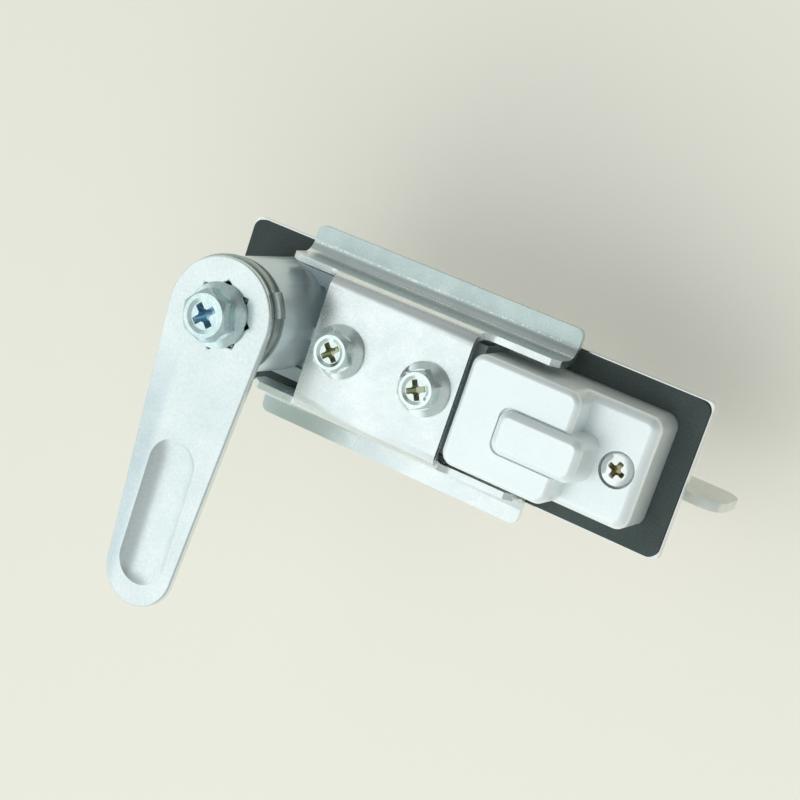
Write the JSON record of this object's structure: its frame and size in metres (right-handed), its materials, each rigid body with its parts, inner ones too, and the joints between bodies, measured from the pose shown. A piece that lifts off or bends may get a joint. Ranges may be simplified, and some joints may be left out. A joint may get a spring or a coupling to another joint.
{
  "type": "cabinet panel lock",
  "caption": "Panel lock with lift-and-turn handle, push-button latch, key cylinder, swinging cam and a clamping bracket for a sheet-metal door.",
  "frame": {"origin": "middle of the face plate's cut-out, on the outside face of the door panel, which is the inner face of the gasket", "axes": "+X along the lock from the cam end to the key end, +Y across it, away from the locked cam, +Z into the cabinet"},
  "size_m": [0.1198, 0.0896, 0.0695],
  "materials": {
    "chrome_front": "bright chrome plating",
    "black_rubber": "matt black rubber",
    "silver_cast": "satin silver paint on die casting",
    "zinc_sheet": "bright zinc plating",
    "zinc_screw": "zinc plating",
    "blue_zinc": "blue zinc plating",
    "turned_steel": "machined steel",
    "dark_steel": "oiled steel",
    "brass_plug": "turned brass",
    "nickel_key": "nickel-plated"
  },
  "bodies": {
    "housing": {"face_plate": "chrome_front", "gasket": "black_rubber", "body": "silver_cast", "carrier_plate": "dark_steel", "cover": "silver_cast", "cover_screw": "zinc_screw", "bracket": "zinc_sheet", "bracket_screw_1": "zinc_screw", "bracket_screw_2": "zinc_screw", "lock_barrel": "chrome_front"},
    "spindle": {"spindle": "turned_steel", "spindle_seal": "black_rubber", "thrust_washer": "turned_steel", "stop_disc": "turned_steel", "cam": "zinc_sheet", "cam_bolt": "blue_zinc", "pop_spring": "dark_steel"},
    "handle": {"handle": "chrome_front", "handle_pin": "turned_steel"},
    "button": {"button": "chrome_front"},
    "latch": {"latch_slider": "dark_steel"},
    "plug": {"plug": "brass_plug", "tail_lever": "dark_steel"},
    "key": {"key": "nickel_key"}
  },
  "joints": [
    {"name": "spindle_turn", "type": "hinge", "parent": "housing", "child": "spindle", "pos_m": [-0.0416, 0, 0], "axis": [0, 0, 1], "range_deg": [0, 90]},
    {"name": "handle_lift", "type": "hinge", "parent": "spindle", "child": "handle", "pos_m": [-0.0416, 0, -0.008], "axis": [0, 1, 0], "range_deg": [0, 36]},
    {"name": "button_press", "type": "slide", "parent": "housing", "child": "button", "axis": [0, 0, 1], "range_m": [0, 0.0026], "stiffness_N_per_m": 600, "springref_m": -0.002},
    {"name": "latch_draw", "type": "slide", "parent": "housing", "child": "latch", "axis": [1, 0, 0], "range_m": [0, 0.0026]},
    {"name": "plug_turn", "type": "hinge", "parent": "housing", "child": "plug", "pos_m": [0.0474, -0.0056, 0], "axis": [0, 0, -1], "range_deg": [-90, 0]},
    {"name": "key_pull", "type": "slide", "parent": "plug", "child": "key", "axis": [0, 0, -1], "range_m": [0, 0.02]}
  ],
  "couplings": [
    {"joint": "latch_draw", "follows": "button_press", "ratio": 1}
  ]
}
